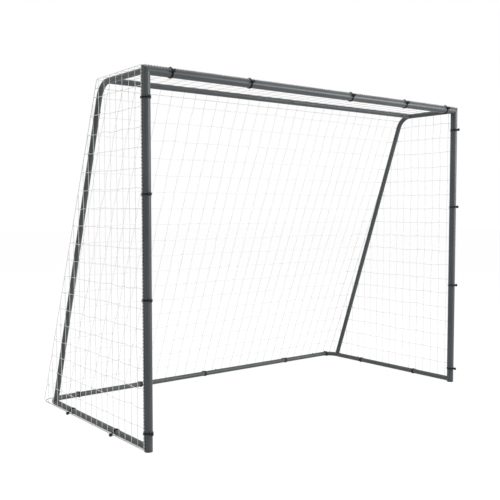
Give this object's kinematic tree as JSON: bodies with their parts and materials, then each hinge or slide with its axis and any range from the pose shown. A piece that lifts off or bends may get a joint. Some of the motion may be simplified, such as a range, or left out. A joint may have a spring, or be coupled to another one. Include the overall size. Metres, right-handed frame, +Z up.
{
  "type": "goal_frame",
  "caption": "Portable football goal of bent and straight steel tubes that push together with snap buttons, with a box net held by elastic ball ties",
  "frame": {"origin": "the middle of the footprint's box, on the ground", "axes": "+X along the crossbar to the right when looking in from the front, +Y from the mouth to the back, +Z up"},
  "size_m": [2.24, 1.1424, 1.6974],
  "materials": {
    "tube_paint": "satin powder coat on steel tube",
    "net_cord": "knotted white polyethylene twine",
    "elastic_cord": "black elastic cord with a moulded ball",
    "cap_plastic": "matt black moulded plastic",
    "button_plastic": "matt black moulded plastic",
    "spring_steel": "bare blued spring strip"
  },
  "bodies": {
    "goal": {"front_corner_left": "tube_paint", "front_corner_right": "tube_paint", "post_left": "tube_paint", "post_right": "tube_paint", "crossbar_left": "tube_paint", "crossbar_right": "tube_paint", "rear_corner_left": "tube_paint", "rear_corner_right": "tube_paint", "rear_top_bar_left": "tube_paint", "rear_top_bar_right": "tube_paint", "rear_upright_left": "tube_paint", "rear_upright_right": "tube_paint", "ground_corner_left": "tube_paint", "ground_corner_right": "tube_paint", "rear_ground_bar_left": "tube_paint", "rear_ground_bar_right": "tube_paint", "side_ground_bar_left": "tube_paint", "side_ground_bar_right": "tube_paint", "post_foot_left": "tube_paint", "post_foot_right": "tube_paint", "foot_cap_left": "cap_plastic", "foot_cap_right": "cap_plastic", "button_springs_top": "spring_steel", "button_springs_base": "spring_steel", "net_top": "net_cord", "net_back": "net_cord", "net_side_left": "net_cord", "net_side_right": "net_cord", "ties_crossbar": "elastic_cord", "ties_posts": "elastic_cord", "ties_side_ground": "elastic_cord", "ties_rear_ground": "elastic_cord"},
    "snap_crossbar_left": {"button_crossbar_left": "button_plastic"},
    "snap_post_top_left": {"button_post_top_left": "button_plastic"},
    "snap_post_foot_left": {"button_post_foot_left": "button_plastic"},
    "snap_side_top_left": {"button_side_top_left": "button_plastic"},
    "snap_rear_top_left": {"button_rear_top_left": "button_plastic"},
    "snap_upright_top_left": {"button_upright_top_left": "button_plastic"},
    "snap_upright_foot_left": {"button_upright_foot_left": "button_plastic"},
    "snap_rear_ground_left": {"button_rear_ground_left": "button_plastic"},
    "snap_side_rear_left": {"button_side_rear_left": "button_plastic"},
    "snap_side_front_left": {"button_side_front_left": "button_plastic"},
    "snap_crossbar_right": {"button_crossbar_right": "button_plastic"},
    "snap_post_top_right": {"button_post_top_right": "button_plastic"},
    "snap_post_foot_right": {"button_post_foot_right": "button_plastic"},
    "snap_side_top_right": {"button_side_top_right": "button_plastic"},
    "snap_rear_top_right": {"button_rear_top_right": "button_plastic"},
    "snap_upright_top_right": {"button_upright_top_right": "button_plastic"},
    "snap_upright_foot_right": {"button_upright_foot_right": "button_plastic"},
    "snap_rear_ground_right": {"button_rear_ground_right": "button_plastic"},
    "snap_side_rear_right": {"button_side_rear_right": "button_plastic"},
    "snap_side_front_right": {"button_side_front_right": "button_plastic"},
    "snap_crossbar_middle": {"button_crossbar_middle": "button_plastic"},
    "snap_rear_top_middle": {"button_rear_top_middle": "button_plastic"},
    "snap_rear_ground_middle": {"button_rear_ground_middle": "button_plastic"}
  },
  "joints": [
    {"name": "press_crossbar_left", "type": "slide", "parent": "goal", "child": "snap_crossbar_left", "axis": [0, -1, 0], "range_m": [0, 0.0044], "stiffness_N_per_m": 600, "springref_m": -0.002, "deforming": ["button_springs_top"]},
    {"name": "press_post_top_left", "type": "slide", "parent": "goal", "child": "snap_post_top_left", "axis": [0, -1, 0], "range_m": [0, 0.0044], "stiffness_N_per_m": 600, "springref_m": -0.002, "deforming": ["button_springs_top"]},
    {"name": "press_post_foot_left", "type": "slide", "parent": "goal", "child": "snap_post_foot_left", "axis": [0, -1, 0], "range_m": [0, 0.0044], "stiffness_N_per_m": 600, "springref_m": -0.002, "deforming": ["button_springs_base"]},
    {"name": "press_side_top_left", "type": "slide", "parent": "goal", "child": "snap_side_top_left", "axis": [-1, 0, 0], "range_m": [0, 0.0044], "stiffness_N_per_m": 600, "springref_m": -0.002, "deforming": ["button_springs_top"]},
    {"name": "press_rear_top_left", "type": "slide", "parent": "goal", "child": "snap_rear_top_left", "axis": [0, 1, 0], "range_m": [0, 0.0044], "stiffness_N_per_m": 600, "springref_m": -0.002, "deforming": ["button_springs_top"]},
    {"name": "press_upright_top_left", "type": "slide", "parent": "goal", "child": "snap_upright_top_left", "axis": [-1, 0, 0], "range_m": [0, 0.0044], "stiffness_N_per_m": 600, "springref_m": -0.002, "deforming": ["button_springs_top"]},
    {"name": "press_upright_foot_left", "type": "slide", "parent": "goal", "child": "snap_upright_foot_left", "axis": [-1, 0, 0], "range_m": [0, 0.0044], "stiffness_N_per_m": 600, "springref_m": -0.002, "deforming": ["button_springs_base"]},
    {"name": "press_rear_ground_left", "type": "slide", "parent": "goal", "child": "snap_rear_ground_left", "axis": [0, 0, -1], "range_m": [0, 0.0044], "stiffness_N_per_m": 600, "springref_m": -0.002, "deforming": ["button_springs_base"]},
    {"name": "press_side_rear_left", "type": "slide", "parent": "goal", "child": "snap_side_rear_left", "axis": [0, 0, -1], "range_m": [0, 0.0044], "stiffness_N_per_m": 600, "springref_m": -0.002, "deforming": ["button_springs_base"]},
    {"name": "press_side_front_left", "type": "slide", "parent": "goal", "child": "snap_side_front_left", "axis": [0, 0, -1], "range_m": [0, 0.0044], "stiffness_N_per_m": 600, "springref_m": -0.002, "deforming": ["button_springs_base"]},
    {"name": "press_crossbar_right", "type": "slide", "parent": "goal", "child": "snap_crossbar_right", "axis": [0, -1, 0], "range_m": [0, 0.0044], "stiffness_N_per_m": 600, "springref_m": -0.002, "deforming": ["button_springs_top"]},
    {"name": "press_post_top_right", "type": "slide", "parent": "goal", "child": "snap_post_top_right", "axis": [0, -1, 0], "range_m": [0, 0.0044], "stiffness_N_per_m": 600, "springref_m": -0.002, "deforming": ["button_springs_top"]},
    {"name": "press_post_foot_right", "type": "slide", "parent": "goal", "child": "snap_post_foot_right", "axis": [0, -1, 0], "range_m": [0, 0.0044], "stiffness_N_per_m": 600, "springref_m": -0.002, "deforming": ["button_springs_base"]},
    {"name": "press_side_top_right", "type": "slide", "parent": "goal", "child": "snap_side_top_right", "axis": [1, 0, 0], "range_m": [0, 0.0044], "stiffness_N_per_m": 600, "springref_m": -0.002, "deforming": ["button_springs_top"]},
    {"name": "press_rear_top_right", "type": "slide", "parent": "goal", "child": "snap_rear_top_right", "axis": [0, 1, 0], "range_m": [0, 0.0044], "stiffness_N_per_m": 600, "springref_m": -0.002, "deforming": ["button_springs_top"]},
    {"name": "press_upright_top_right", "type": "slide", "parent": "goal", "child": "snap_upright_top_right", "axis": [1, 0, 0], "range_m": [0, 0.0044], "stiffness_N_per_m": 600, "springref_m": -0.002, "deforming": ["button_springs_top"]},
    {"name": "press_upright_foot_right", "type": "slide", "parent": "goal", "child": "snap_upright_foot_right", "axis": [1, 0, 0], "range_m": [0, 0.0044], "stiffness_N_per_m": 600, "springref_m": -0.002, "deforming": ["button_springs_base"]},
    {"name": "press_rear_ground_right", "type": "slide", "parent": "goal", "child": "snap_rear_ground_right", "axis": [0, 0, -1], "range_m": [0, 0.0044], "stiffness_N_per_m": 600, "springref_m": -0.002, "deforming": ["button_springs_base"]},
    {"name": "press_side_rear_right", "type": "slide", "parent": "goal", "child": "snap_side_rear_right", "axis": [0, 0, -1], "range_m": [0, 0.0044], "stiffness_N_per_m": 600, "springref_m": -0.002, "deforming": ["button_springs_base"]},
    {"name": "press_side_front_right", "type": "slide", "parent": "goal", "child": "snap_side_front_right", "axis": [0, 0, -1], "range_m": [0, 0.0044], "stiffness_N_per_m": 600, "springref_m": -0.002, "deforming": ["button_springs_base"]},
    {"name": "press_crossbar_middle", "type": "slide", "parent": "goal", "child": "snap_crossbar_middle", "axis": [0, -1, 0], "range_m": [0, 0.0044], "stiffness_N_per_m": 600, "springref_m": -0.002, "deforming": ["button_springs_top"]},
    {"name": "press_rear_top_middle", "type": "slide", "parent": "goal", "child": "snap_rear_top_middle", "axis": [0, 1, 0], "range_m": [0, 0.0044], "stiffness_N_per_m": 600, "springref_m": -0.002, "deforming": ["button_springs_top"]},
    {"name": "press_rear_ground_middle", "type": "slide", "parent": "goal", "child": "snap_rear_ground_middle", "axis": [0, 0, -1], "range_m": [0, 0.0044], "stiffness_N_per_m": 600, "springref_m": -0.002, "deforming": ["button_springs_base"]}
  ]
}
